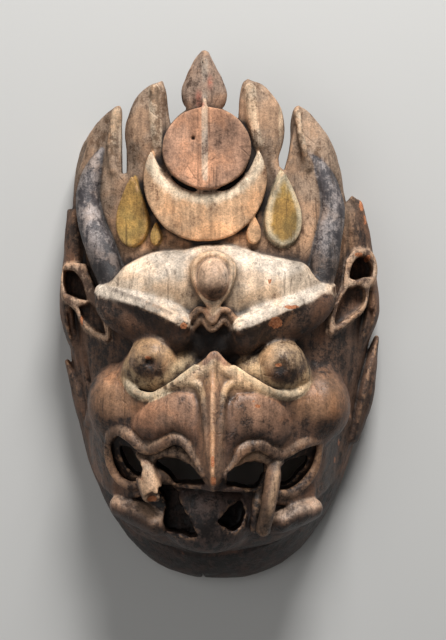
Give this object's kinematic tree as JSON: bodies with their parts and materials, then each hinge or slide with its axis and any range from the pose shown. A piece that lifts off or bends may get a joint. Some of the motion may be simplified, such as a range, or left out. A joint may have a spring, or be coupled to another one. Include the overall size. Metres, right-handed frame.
{
  "type": "carved dance mask",
  "caption": "Carved wooden dance mask of a horned, beaked guardian bird with a flame crown, bulging eyes and a fanged mouth, hollow behind, lying on its back rim.",
  "frame": {"origin": "middle of the outline, on the plane of the back rim", "axes": "+Z out of the face, +Y from the chin to the crown, +X to the right as one looks at the face"},
  "size_m": [0.232, 0.38, 0.138],
  "materials": {
    "wood": "aged paint on carved wood, matt and worn"
  },
  "bodies": {
    "root": {"mask": "wood"}
  },
  "joints": []
}
